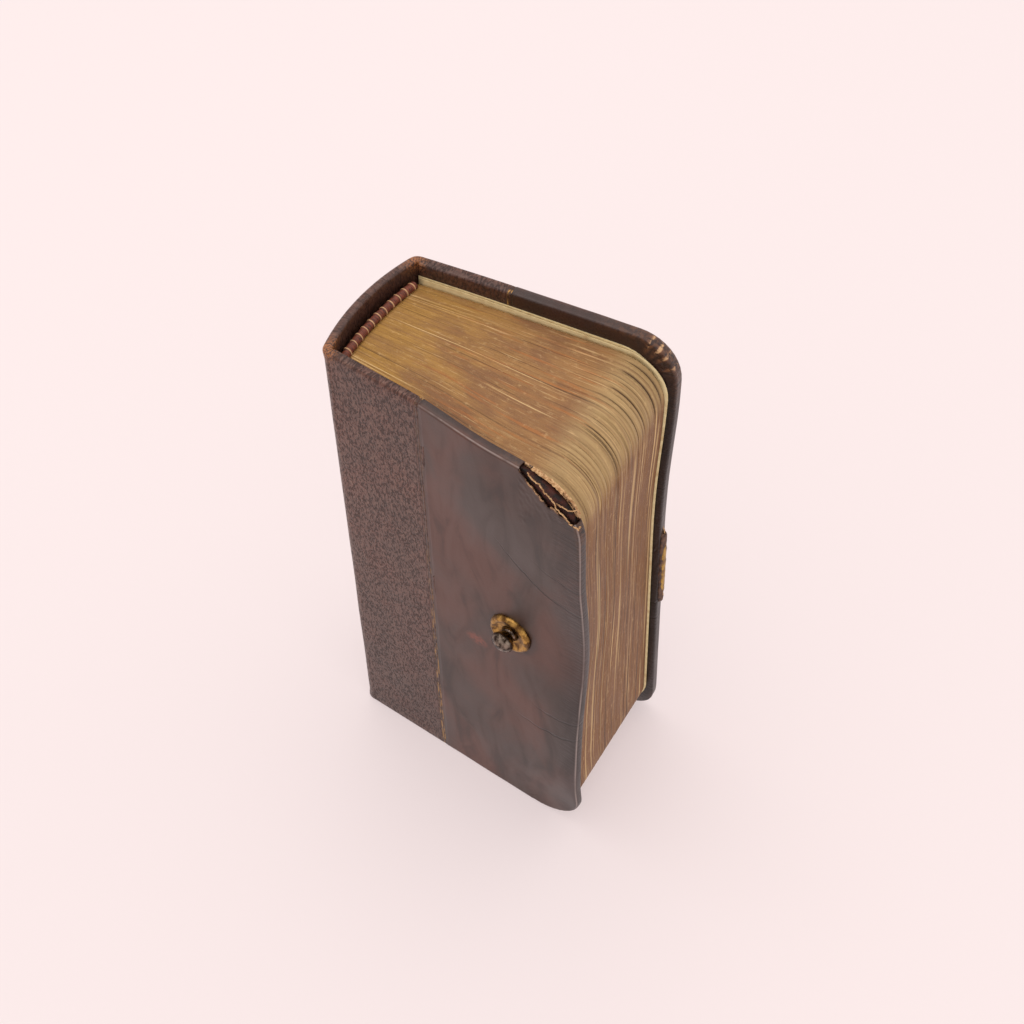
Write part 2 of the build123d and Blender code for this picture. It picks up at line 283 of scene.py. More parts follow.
def grainedLeather():
    # Pebble-grained skin: long raised grains with a dull shine, and by the seam
    # two pressed lines with some gilt left in them
    look = {
        "base": "#4d2e23",
        "deep": "#27160f",
        "red": "#5b3224",
        "crestRubAndHighlight": "#7b5c4d",
        "gilt": "#b98a45",
        "tan": "#a5683a",
        "grainsPerMm": (2.3, 0.95, 0.8),
        "grainDepth": 0.2,
        "linesAt": 23.75,
        "lineOffset": 0.32,
    }
    material, add, finish = newMaterial("leatherPebbleGrained")
    place, across, height, fold = layOf(add)
    grainPlace = add("Mapping", {"Vector": place, "Scale": look["grainsPerMm"]})
    grainNoise = {"Vector": grainPlace, "Scale": 1.0, "Detail": 2, "Roughness": 0.45}
    grains = add("TexNoise", {**grainNoise, "Distortion": 0.7})
    fine = add("TexNoise", {"Vector": place, "Scale": 2.2, "Detail": 3})
    patches = add("TexNoise", {"Vector": place, "Scale": 0.09, "Detail": 3})
    groove = add("MapRange", (grains, 0.5, 0.36), **smooth)
    raised = add("MapRange", (grains, 0.5, 0.62), **smooth)
    rubbed = add("MapRange", (fine, 0.35, 0.65, 0.1, 0.6), **smooth)
    # Two lines pressed in beside the seam, each as far from their middle
    fromLines = add("Math", (across, look["linesAt"]), operation="SUBTRACT")
    fromLines = add("Math", (fromLines,), operation="ABSOLUTE")
    fromLine = add("Math", (fromLines, look["lineOffset"]), operation="SUBTRACT")
    fromLine = add("Math", (fromLine,), operation="ABSOLUTE")
    pressed = add("MapRange", (fromLine, 0.22, 0.08), **smooth)
    band = add("MapRange", (fromLines, 1.0, 0.75), **smooth)
    goldPlace = add("Mapping", {"Vector": place, "Scale": (2.0, 0.5, 1.0)})
    gold = add("TexNoise", {"Vector": goldPlace, "Scale": 1.0, "Detail": 3})
    lowDown = add("MapRange", (height, 95, 20, 0.1, 0.75), **smooth)
    turnedIn = add("MapRange", (fold, -1.0, -1.5), **smooth)
    left = add("Math", (lowDown, turnedIn), operation="MAXIMUM")
    for share in (
        add("MapRange", (gold, 0.42, 0.6), **smooth),
        band,
        add("MapRange", (fromLine, 0.3, 0.1), **smooth),
    ):
        left = add("Math", (left, share), operation="MULTIPLY")
    # Rubbed pale at the ends of the spine
    ends = add("MapRange", (height, 121.5, 125), **smooth)
    for share in (
        add("MapRange", (across, 4.5, 0.5), **smooth),
        add("MapRange", (across, -6.0, -0.5), **smooth),
        add("MapRange", (fine, 0.38, 0.6), **smooth),
    ):
        ends = add("Math", (ends, share), operation="MULTIPLY")
    tint = colour(look["base"])
    for share, word in (
        (add("MapRange", (patches, 0.35, 0.7), **smooth), "red"),
        # Grain crests lighter where rubbed: partly wear, partly a painted highlight
        (add("Math", (raised, rubbed), operation="MULTIPLY"), "crestRubAndHighlight"),
        # Painted shade in the grain valleys
        (add("Math", (groove, 0.6), operation="MULTIPLY"), "deep"),
        # Darker towards the tail
        (add("MapRange", (height, 85, 10, 0.0, 0.3), **smooth), "deep"),
        # Painted shade on the turned-in leather
        (add("MapRange", (fold, -0.4, -1.2, 0.0, 0.4), **smooth), "deep"),
        # Painted shade in the pressed lines
        (add("Math", (pressed, 0.6), operation="MULTIPLY"), "deep"),
        (left, "gilt"),
        (ends, "tan"),
    ):
        tint = add("Mix", {0: share, 6: tint, 7: colour(look[word])}, **rgba)
    # The grain is pressed flat beside the lines and worn on the spine
    relief = add("Math", (1.0, groove), operation="SUBTRACT")
    reliefShare = add("Math", (1.0, band), operation="SUBTRACT")
    spineWorn = add("MapRange", (across, -1.0, 3.0, 0.35, 1.0), **smooth)
    reliefShare = add("Math", (reliefShare, spineWorn), operation="MULTIPLY")
    relief = add("Math", (relief, reliefShare), operation="MULTIPLY")
    fineRelief = add("Math", (fine, 0.25), operation="MULTIPLY")
    relief = add("Math", (relief, fineRelief), operation="ADD")
    relief = add("Math", (relief, pressed), operation="SUBTRACT")
    finish(
        {
            "Base Color": tint,
            "Roughness": add("MapRange", (groove, 0.0, 1.0, 0.42, 0.65), **smooth),
            "Normal": add("Bump", {"Height": relief, "Distance": look["grainDepth"] * mm}),
            "Specular IOR Level": 0.4,
            "Coat Weight": 0.2,
            "Coat Roughness": 0.3,
        }
    )
    return material


def smoothLeather(name, studded):
    # Worn smooth calf: grey-brown with reddish clouds, fine curved creases, a painted highlight along the
    # outer folds, and pale torn fibres where it is worn through
    look = {
        "base": "#37241c",
        "warm": "#512b1d",
        "dark": "#201614",
        "edgeHighlight": "#a89892",
        "rust": "#7c3d2b",
        "fibre": "#cba377",
        "tan": "#8d5c3a",
        "rustSpot": {"across": 36, "height": 56.5, "halfWidth": 3.4, "halfHeight": 2.3},
        "creases": [
            {"end": 61, "height": 86.4, "length": 12.4, "drop": 5.3, "start": 40},
            {"end": 59.5, "height": 95.4, "length": 6, "drop": 1.5, "start": 50},
            {"end": 54.5, "height": 44.3, "length": 6, "drop": 1.3, "start": 49},
            {"end": 50, "height": 36.5, "length": 9, "drop": 2.2, "start": 44},
        ],
        "depth": 0.14,
    }
    material, add, finish = newMaterial(name)
    place, across, height, fold = layOf(add)
    nearRim = add("Attribute", output=2, attribute_name="folded")
    worn = add("Attribute", output=2, attribute_name="worn")
    cloudPlace = add("Mapping", {"Vector": place, "Scale": (0.05, 0.035, 0.05)})
    clouds = add("TexNoise", {"Vector": cloudPlace, "Scale": 1.0, "Detail": 3, "Distortion": 0.6})
    streakPlace = add("Mapping", {"Vector": place, "Scale": (0.16, 0.05, 0.1), "Location": (3, 5, 0)})
    streaks = add("TexNoise", {"Vector": streakPlace, "Scale": 1.0, "Detail": 4, "Distortion": 1.2})
    fine = add("TexNoise", {"Vector": place, "Scale": 1.3, "Detail": 4})
    speck = add("TexNoise", {"Vector": place, "Scale": 0.9, "Detail": 4, "Roughness": 0.65})
    foreEdge = add("MapRange", (across, 54, 63.5), **smooth)
    lowDown = add("MapRange", (height, 112, 55, 0.25, 0.7), **smooth)
    shade = add("Math", (foreEdge, lowDown), operation="MULTIPLY")
    # Rust-coloured rub beside the stud
    rust = look["rustSpot"]
    spot = []
    for part, middle, half in ((across, "across", "halfWidth"), (height, "height", "halfHeight")):
        part = add("Math", (part, rust[middle]), operation="SUBTRACT")
        part = add("Math", (part, rust[half]), operation="DIVIDE")
        spot.append(add("Math", (part, part), operation="MULTIPLY"))
    spot = add("Math", spot, operation="ADD")
    inSpot = add("MapRange", (spot, 1.0, 0.1, 0.0, 0.75 * studded), **smooth)
    rubbed = add("MapRange", (fine, 0.3, 0.6), **smooth)
    rub = add("Math", (inSpot, rubbed), operation="MULTIPLY")
    # Creases: each a bent line from the middle of the cover to its fore-edge
    wave = add("TexNoise", {"Vector": place, "Scale": 0.25, "Detail": 2})
    wave = add("Math", (wave, 0.5), operation="SUBTRACT")
    wave = add("Math", (wave, 2.0), operation="MULTIPLY")
    creased = None
    for crease in look["creases"]:
        along = add("Math", (crease["end"], across), operation="SUBTRACT")
        along = add("Math", (along, crease["length"]), operation="DIVIDE")
        curve = add("Math", (along, along), operation="MULTIPLY")
        curve = add("Math", (curve, crease["drop"]), operation="MULTIPLY")
        away = add("Math", (height, crease["height"]), operation="SUBTRACT")
        away = add("Math", (away, curve), operation="SUBTRACT")
        away = add("Math", (away, wave), operation="ADD")
        away = add("Math", (away,), operation="ABSOLUTE")
        line = add("MapRange", (away, 0.42, 0.05), **smooth)
        fade = add("MapRange", (across, crease["start"], crease["start"] + 12), **smooth)
        line = add("Math", (line, fade), operation="MULTIPLY")
        creased = add("Math", (creased, line), operation="MAXIMUM") if creased is not None else line
    # Short tight creases along the fore-edge
    tightPlace = add("Mapping", {"Vector": place, "Scale": (0.09, 0.75, 0.1)})
    tight = add("TexNoise", {"Vector": tightPlace, "Scale": 1.6, "Detail": 3, "Distortion": 0.35})
    tight = add("MapRange", (tight, 0.47, 0.58), **smooth)
    rimShare = add("MapRange", (across, 55.5, 62), **smooth)
    highUp = add("MapRange", (height, 60, 95, 0.25, 1.0), **smooth)
    rimShare = add("Math", (rimShare, highUp), operation="MULTIPLY")
    tight = add("Math", (tight, rimShare), operation="MULTIPLY")
    tight = add("Math", (tight, 0.55), operation="MULTIPLY")
    creased = add("Math", (creased, tight), operation="MAXIMUM")
    # Painted shade in a ring round the washer, standing in for the hollow it presses in the leather
    washerShade = []
    for part, middle in ((across, clasp["across"]), (height, clasp["height"])):
        part = add("Math", (part, middle), operation="SUBTRACT")
        washerShade.append(add("Math", (part, part), operation="MULTIPLY"))
    washerShade = add("Math", washerShade, operation="ADD")
    washerShade = add("Math", (washerShade,), operation="SQRT")
    washerShade = add("MapRange", (washerShade, 7.2, 5.2, 0.0, 0.55 * studded), **smooth)
    onFace = add("MapRange", (fold, -0.5, 0.3), **smooth)
    washerShade = add("Math", (washerShade, onFace), operation="MULTIPLY")
    # Painted highlight along the outer fold, in patches
    edgeHighlight = add("Math", (fold, 0.2), operation="SUBTRACT")
    edgeHighlight = add("Math", (edgeHighlight,), operation="ABSOLUTE")
    edgeHighlight = add("MapRange", (edgeHighlight, 0.2, 0.02), **smooth)
    edgeHighlight = add("Math", (edgeHighlight, nearRim), operation="MULTIPLY")
    patchy = add("MapRange", (streaks, 0.3, 0.6, 0.25, 0.6), **smooth)
    edgeHighlight = add("Math", (edgeHighlight, patchy), operation="MULTIPLY")
    # Scuffs on the rims, strongest at the corners
    scuff = add("MapRange", (speck, 0.36, 0.6), **smooth)
    scuff = add("Math", (worn, scuff), operation="MULTIPLY")
    tornShare = add("MapRange", (worn, 0.62, 0.95), **smooth)
    torn = add("MapRange", (speck, 0.4, 0.55), **smooth)
    torn = add("Math", (tornShare, torn), operation="MULTIPLY")
    tint = colour(look["base"])
    for share, word in (
        (add("MapRange", (clouds, 0.35, 0.65), **smooth), "warm"),
        (add("MapRange", (streaks, 0.5, 0.75, 0.0, 0.5), **smooth), "dark"),
        (shade, "dark"),
        (rub, "rust"),
        # Painted shade in the creases, long and short
        (add("Math", (creased, 0.85), operation="MULTIPLY"), "dark"),
        # Painted shade round the washer
        (washerShade, "dark"),
        # Painted shade over the rims and turn-ins
        (add("MapRange", (fold, 0.1, -0.9, 0.0, 0.6), **smooth), "dark"),
        # Painted highlight along the outer fold
        (edgeHighlight, "edgeHighlight"),
        (add("Math", (scuff, 0.9), operation="MULTIPLY"), "tan"),
        (torn, "fibre"),
    ):
        tint = add("Mix", {0: share, 6: tint, 7: colour(look[word])}, **rgba)
    relief = add("Math", (fine, 0.12), operation="MULTIPLY")
    relief = add("Math", (relief, creased), operation="SUBTRACT")
    scuffed = add("Math", (scuff, 0.5), operation="MULTIPLY")
    relief = add("Math", (relief, scuffed), operation="SUBTRACT")
    wrinkles = add("TexNoise", {"Vector": place, "Scale": 0.7, "Detail": 3, "Distortion": 1.5})
    turnedIn = add("MapRange", (fold, -0.2, -1.0, 0.0, 1.6), **smooth)
    wrinkles = add("Math", (wrinkles, turnedIn), operation="MULTIPLY")
    relief = add("Math", (relief, wrinkles), operation="ADD")
    finish(
        {
            "Base Color": tint,
            "Roughness": add("MapRange", (streaks, 0.35, 0.7, 0.4, 0.52), **smooth),
            "Normal": add("Bump", {"Height": relief, "Distance": look["depth"] * mm}),
            "Specular IOR Level": 0.4,
            "Coat Weight": 0.22,
            "Coat Roughness": 0.28,
        }
    )
    return material


def giltEdges():
    # Gilt leaf edges, burnished: olive gold by the spine, rubbed to brown paper further out,
    # with a line along every leaf
    look = {
        "olive": "#b08643",
        "gold": "#a1784a",
        "brown": "#80593a",
        "edge": "#80552a",
        "lit": "#b89c6c",
        "dark": "#3d2615",
        "pale": "#dfbd87",
        "orange": "#b06c35",
        "depth": 0.22,
        # Streaks along the leaves: (per mm along, per mm over), shift, noise from and to, share, detail
        "streaks": {
            "rubbed": ((0.03, 2.1), (0, 0), (0.45, 0.7), 0.5, 3),
            "rusty": ((0.04, 0.9), (4, 11), (0.54, 0.66), 0.5, 3),
            "gaps": ((0.02, 1.5), (2, 31), (0.56, 0.72), 0.65, 3),
            "bare": ((0.012, 1.0), (14, 21), (0.63, 0.7), 0.9, 2),
            "hairs": ((0.1, 3.0), (24, 5), (0.58, 0.7), 0.45, 3),
            "edgePale": ((0.008, 0.8), (3, 9), (0.58, 0.68), 0.6, 2),
            "edgeDark": ((0.008, 1.1), (8, 4), (0.55, 0.67), 0.6, 2),
        },
    }
    material, add, finish = newMaterial("paperGiltEdge")
    place, run, across, gap = layOf(add)
    streaks = {}
    for word, (perMm, shift, span, share, detail) in look["streaks"].items():
        spot = {"Scale": (*perMm, 1.0), "Location": (*shift, 0)}
        streakPlace = add("Mapping", {"Vector": place, **spot})
        streakNoise = {"Vector": streakPlace, "Scale": 1.0, "Detail": detail, "Roughness": 0.6}
        streak = add("TexNoise", streakNoise)
        streaks[word] = add("MapRange", (streak, *span, 0.0, share), **smooth)
    flat = add("CombineXYZ", (run, across, 0.0))
    patchPlace = add("Mapping", {"Vector": flat, "Scale": (0.06, 0.11, 1.0), "Location": (1, 7, 0)})
    patches = add("TexNoise", {"Vector": patchPlace, "Scale": 1.0, "Detail": 5, "Roughness": 0.62})
    speckPlace = add("Mapping", {"Vector": flat, "Scale": (0.5, 0.9, 1.0), "Location": (5, 1, 0)})
    specks = add("TexNoise", {"Vector": speckPlace, "Scale": 1.0, "Detail": 4, "Roughness": 0.65})
    brownPatch = add("MapRange", (patches, 0.4, 0.62), **smooth)
    outward = add("MapRange", (run, 112, 135, 0.3, 0.8), **smooth)
    brownPatch = add("Math", (brownPatch, outward), operation="MULTIPLY")
    # The run along a leaf: the head up to 160 mm, its corner up to 176, then the fore-edge
    headStart = add("MapRange", (run, 118, 138), **smooth)
    headEnd = add("MapRange", (run, 172, 158), **smooth)
    middle = add("Math", (headStart, headEnd), operation="MULTIPLY")
    cornerStart = add("MapRange", (run, 158, 166), **smooth)
    cornerEnd = add("MapRange", (run, 181, 174), **smooth)
    corner = add("Math", (cornerStart, cornerEnd), operation="MULTIPLY")
    onEdge = add("MapRange", (run, 176, 186), **smooth)
    tint = colour(look["olive"])
    for share, word in (
        (add("MapRange", (run, 116, 150), **smooth), "gold"),
        (add("MapRange", (run, 168, 190), **smooth), "edge"),
        (brownPatch, "brown"),
        (add("Math", (corner, 0.75), operation="MULTIPLY"), "lit"),
        (streaks["rubbed"], "brown"),
        (add("Math", (streaks["rusty"], middle), operation="MULTIPLY"), "orange"),
        # Painted shade in the gaps between leaves
        (streaks["gaps"], "dark"),
        (streaks["bare"], "pale"),
        (streaks["hairs"], "pale"),
        (add("MapRange", (specks, 0.55, 0.75, 0.0, 0.35), **smooth), "pale"),
        (add("MapRange", (specks, 0.42, 0.25, 0.0, 0.3), **smooth), "brown"),
        (add("Math", (onEdge, streaks["edgePale"]), operation="MULTIPLY"), "pale"),
        (add("Math", (onEdge, streaks["edgeDark"]), operation="MULTIPLY"), "dark"),
        # Painted shade where the leaves sit deeper
        (add("MapRange", (gap, 0.3, 0.6, 0.0, 0.9), **smooth), "dark"),
    ):
        tint = add("Mix", {0: share, 6: tint, 7: colour(look[word])}, **rgba)
    giltLeft = add("MapRange", (patches, 0.62, 0.4), **smooth)
    giltShare = add("MapRange", (run, 112, 175, 0.3, 0.05), **smooth)
    leafPlace = add("Mapping", {"Vector": place, "Scale": (0.05, 3.2, 1.0), "Location": (7, 2, 0)})
    leafLines = add("TexNoise", {"Vector": leafPlace, "Scale": 1.0, "Detail": 4, "Roughness": 0.7})
    speckRelief = add("Math", (specks, 0.35), operation="MULTIPLY")
    relief = add("Math", (leafLines, speckRelief), operation="ADD")
    finish(
        {
            "Base Color": tint,
            "Metallic": add("Math", (giltLeft, giltShare), operation="MULTIPLY"),
            "Roughness": 0.5,
            "Normal": add("Bump", {"Height": relief, "Distance": look["depth"] * mm}),
            "Specular IOR Level": 0.3,
        }
    )
    return material


def endpaper():
    # Pale printed endpaper: faint all-over sprig on yellowed paper, foxed
    look = {"base": "#ead6a4", "print": "#ddc793", "fox": "#c4a06c", "sprigsPerMm": 0.42, "depth": 0.05}
    material, add, finish = newMaterial("paperEndpaper")
    place = add("Attribute", output=1, attribute_name="lay")
    sprigs = add("TexVoronoi", {"Vector": place, "Scale": look["sprigsPerMm"], "Randomness": 0.25})
    spots = add("TexNoise", {"Vector": place, "Scale": 0.25, "Detail": 4})
    tint = colour(look["base"])
    for share, word in (
        (add("MapRange", (sprigs, 0.55, 0.3, 0.0, 0.7), **smooth), "print"),
        (add("MapRange", (spots, 0.55, 0.75, 0.0, 0.7), **smooth), "fox"),
    ):
        tint = add("Mix", {0: share, 6: tint, 7: colour(look[word])}, **rgba)
    normal = add("Bump", {"Height": spots, "Distance": look["depth"] * mm})
    finish({"Base Color": tint, "Roughness": 0.75, "Normal": normal})
    return material


def plainMaterial(name, base, second, spotSize, rough, depth, metallic=0.0):
    # One mottled finish: base and second colour in spots of a given size in mm
    material, add, finish = newMaterial(name)
    place = add("TexCoord", output=3)
    noiseSockets = {"Vector": place, "Scale": 1 / (spotSize * mm), "Detail": 4, "Roughness": 0.6}
    spots = add("TexNoise", noiseSockets)
    share = add("MapRange", (spots, 0.35, 0.65), **smooth)
    finish(
        {
            "Base Color": add("Mix", {0: share, 6: colour(base), 7: colour(second)}, **rgba),
            "Roughness": rough,
            "Metallic": metallic,
            "Normal": add("Bump", {"Height": spots, "Distance": depth * mm}),
        }
    )
    return material


def bandThread():
    # Sewn headband: brown-red silk over a core, with pale thread rings
    look = {"silk": "#7d3d27", "deep": "#3a1a10", "ring": "#c9a074", "depth": 0.08}
    material, add, finish = newMaterial("threadHeadband")
    place, *_, ring = layOf(add)
    fibrePlace = add("Mapping", {"Vector": place, "Scale": (6.0, 0.6, 1.0)})
    fibres = add("TexNoise", {"Vector": fibrePlace, "Scale": 1.0, "Detail": 3})
    tint = colour(look["silk"])
    for share, word in (
        (add("MapRange", (fibres, 0.4, 0.65), **smooth), "deep"),
        (add("MapRange", (ring, 0.45, 0.8, 0.0, 0.9), **smooth), "ring"),
    ):
        tint = add("Mix", {0: share, 6: tint, 7: colour(look[word])}, **rgba)
    normal = add("Bump", {"Height": fibres, "Distance": look["depth"] * mm})
    finish({"Base Color": tint, "Roughness": 0.6, "Normal": normal})
    return material


materials = {
    "grain": grainedLeather(),
    "smoothFront": smoothLeather("leatherSmoothFront", 1),
    "smoothBack": smoothLeather("leatherSmoothBack", 0),
    "gilt": giltEdges(),
    "endpaper": endpaper(),
    "band": bandThread(),
    # Old pasteboard, burnt dark red-brown where the leather has gone
    "board": plainMaterial("pasteboardDark", "#4a1f12", "#160a07", 1.6, 0.8, 0.3),
    # Pale torn fibres of the skin
    "fibre": plainMaterial("leatherTornFibre", "#d2ac7d", "#a0754c", 0.6, 0.85, 0.1),
    # Rubbed yellow brass with brown left in the hollows
    "brass": plainMaterial("brassRubbed", "#b98f4e", "#5a3e22", 1.5, 0.36, 0.12, 1.0),
    # Thin sheet brass gone ochre
    "ochre": plainMaterial("brassOchre", "#c09a48", "#7c5a28", 1.8, 0.42, 0.1, 0.8),
    # Almost black bronze, polished by fingers
    "bronze": plainMaterial("bronzeDarkPolished", "#8c7d70", "#2a1f19", 1.3, 0.2, 0.2, 1.0),
    # Lining cloth, brown with old glue
    "cloth": plainMaterial("linenGlued", "#8a7152", "#5e4a33", 0.5, 0.85, 0.1),
    # Linen sewing cord
    "cord": plainMaterial("cordLinen", "#b49a70", "#7d6644", 0.3, 0.85, 0.1),
    # Grey card strip
    "card": plainMaterial("cardGrey", "#5c4c3c", "#3f332a", 2.0, 0.85, 0.1),
    # Torn end of the strap
    "strap": plainMaterial("leatherStrapTorn", "#3b2a25", "#6b4a35", 1.0, 0.7, 0.15),
}
print("materials made")

# Grained leather over the spine, the joints and the spine side of the boards

grained = {
    "edgeRound": 0.7,
    "innerRound": 0.5,
    "spineInner": -1.5,
    "fold": 12.0,
    "spineFold": 9.0,
    "rowStep": 2.0,
    "thickness": 0.34,
    "end": 25.0,
    "waviness": 0.1,
    "capRise": 0.22,
    "bendFrom": -0.9,
    "bendTo": 1.05,
}
foldRows = [("turn", f) for f in (1, 0.8, 0.6, 0.4, 0.2, 0)]
foldRows += [("inner", a) for a in (30, 60, 90)] + [("rim", 0.5)]
foldRows += [("outer", a) for a in (0, 25, 50, 70, 90)]


def foldPoint(kind, value, inner, outerRound, innerRound, fold, face):
    # Distance from the end of the cover, and level, round its edge
    if kind == "turn":
        return innerRound + (fold - innerRound) * value, inner
    if kind == "rim":
        return 0, mix(inner + innerRound, face - outerRound, value)
    angle = math.radians(value)
    if kind == "inner":
        return innerRound * (1 - math.sin(angle)), inner + innerRound * (1 - math.cos(angle))
    return outerRound * (1 - math.cos(angle)), face - outerRound * (1 - math.sin(angle))


def grainedPiece(side, name):
    columns = spread(-spineHalf, -3, 14) + spread(-3, 3.4, 26)[1:]
    columns += spread(3.4, grained["end"], 22)[1:]
    count = round(coverHeight / grained["rowStep"])
    rows = [("low", *row) for row in foldRows]
    rows += [("face", "face", i / count) for i in range(1, count)]
    rows += [("high", *row) for row in reversed(foldRows)]
    bm, lay, spots = makeGrid(len(columns), len(rows))
    for vert, (column, row) in spots.items():
        across = columns[column]
        where, kind, value = rows[row]
        onCover = ease(-0.8, 2.6, across)
        inner = mix(grained["spineInner"], book["inner"][side] - 0.02, onCover)
        fold = mix(grained["spineFold"], grained["fold"], onCover)
        waves = wander(across * 0.13, row * 0.11, side) * ease(0, 3, across + spineHalf)
        face = book["face"] + grained["waviness"] * waves
        if kind == "face":
            height = mix(grained["edgeRound"], coverHeight - grained["edgeRound"], value)
            level = face
        else:
            outerRound, innerRound = grained["edgeRound"], grained["innerRound"]
            away, level = foldPoint(kind, value, inner, outerRound, innerRound, fold, book["face"])
            height = away if where == "low" else coverHeight - away
        if where != "face" and across < 2:
            # The cap at each end of the spine is rolled a little proud
            proud = grained["capRise"] if kind in ("outer", "rim") else 0
            level += proud * (1 - ease(-1, 2, across))
        # Past the seam it runs just under the smooth leather
        under = 0.08 * ease(23.4, 24.1, across)
        height += under if height < coverHeight / 2 else -under
        vert[lay] = (across, height, level)
        vert.co = layPoint(side, across, level, height)
    piece = finishMesh(name, bm, materials["grain"], grained["thickness"], flip=side == back)
    cover = "front_cover" if side == front else "back_cover"
    start, end = (
        Vector((hingeX + grained[word], midY + side * hingeOffset, coverHeight / 2)) * mm
        for word in ("bendFrom", "bendTo")
    )
    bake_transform(piece, "root", cover, start=start, end=end)
    return piece


frontGrain = grainedPiece(front, "frontGrain")
backGrain = grainedPiece(back, "backGrain")
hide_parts("front_quarter", "spine_leather")
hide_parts("back_quarter", "spine_leather")
print("grained leather made")

# Smooth leather over the rest of each board

sided = {
    "inset": 0.7,
    "rowStep": 1.5,
    "columns": 46,
    "thickness": 0.3,
    "lift": 0.05,
    "innerRound": 0.4,
    "fold": 12.0,
    "fineAcross": 47,
    "fineHeight": 108,
    "holeFrom": -6,
    "holeTo": 64,
    "holeReach": 4.4,
    "pleatDepth": 0.22,
    "waviness": 0.07,
}


def holeEdge(angle):
    # How far the worn hole reaches in from the outline, by angle round the corner from the head
    degrees = math.degrees(angle)
    if degrees < sided["holeFrom"] or degrees > sided["holeTo"]:
        return 0
    share = (degrees - sided["holeFrom"]) / (sided["holeTo"] - sided["holeFrom"])
    reach = sided["holeReach"] * math.sin(math.pi * share) ** 0.6
    return reach + 0.9 * wander(degrees * 0.12, 3.1)


def cornerAngle(side, across, height):
    # Angle round the head corner, from 0 at the head edge to 90 at the fore-edge,
    # and the distance in from the outline
    radius = book["corners"][side]
    spot = Vector((across - (book["width"] - radius), height - (coverHeight - radius)))
    if spot.x <= 0:
        return math.atan2(spot.x, radius), radius - spot.y
    if spot.y <= 0:
        return math.pi / 2 - math.atan2(spot.y, radius), radius - spot.x
    return math.atan2(spot.x, spot.y), radius - spot.length


def sidedShell(side):
    # The face of the leather, with its outline then folded round the board and turned in
    rows = cornerRows(sided["inset"], book["corners"][side], 0, coverHeight, sided["rowStep"])
    columns = sided["columns"]
    bm, lay, spots = makeGrid(columns, len(rows))
    outward = bm.verts.layers.float_vector["outward"]
    worn = bm.verts.layers.float["worn"]
    ring = set()
    for vert, (column, row) in spots.items():
        height, short, angle = rows[row]
        share = 1 - (1 - column / (columns - 1)) ** 1.15
        end = book["width"] - sided["inset"] - short
        vert.co = Vector((mix(book["seam"], end, share), height, 0))
        if column == columns - 1:
            vert[outward] = outlineNormal(angle).to_3d()
            ring.add(vert)
        elif row in (0, len(rows) - 1):
            vert[outward] = (0, -1 if row == 0 else 1, 0)
            ring.add(vert)
    edges = [e for e in bm.edges if e.is_boundary and all(v in ring for v in e.verts)]
    face = book["face"] + sided["lift"]
    for vert in bm.verts:
        vert[lay] = (vert.co.x, vert.co.y, face)
    path = [("outer", a) for a in (70, 45, 22, 0)] + [("rim", f) for f in (0.7, 0.3)]
    path += [("inner", a) for a in (90, 60, 30)] + [("turn", f) for f in (0, 0.12, 0.3, 0.5, 0.75, 1)]
    inner = book["inner"][side] - 0.03
    fold = min(sided["fold"], book["corners"][side] - 0.8)
    for kind, value in path:
        away, level = foldPoint(kind, value, inner, sided["inset"], sided["innerRound"], fold, face)
        made = bmesh.ops.extrude_edge_only(bm, edges=edges)["geom"]
        verts = [g for g in made if isinstance(g, bmesh.types.BMVert)]
        new = set(verts)
        edges = [g for g in made if isinstance(g, bmesh.types.BMEdge) and all(v in new for v in g.verts)]
        for vert in verts:
            base = Vector((vert.co.x, vert.co.y, 0))
            # The ring before this one sits a known distance beyond the face
            start = Vector(vert[outward])
            origin = base - start * vert[worn]
            vert[worn] = sided["inset"] - away
            spot = origin + start * vert[worn]
            vert.co = Vector((spot.x, spot.y, 0))
            vert[lay] = (spot.x, spot.y, level)
    return bm


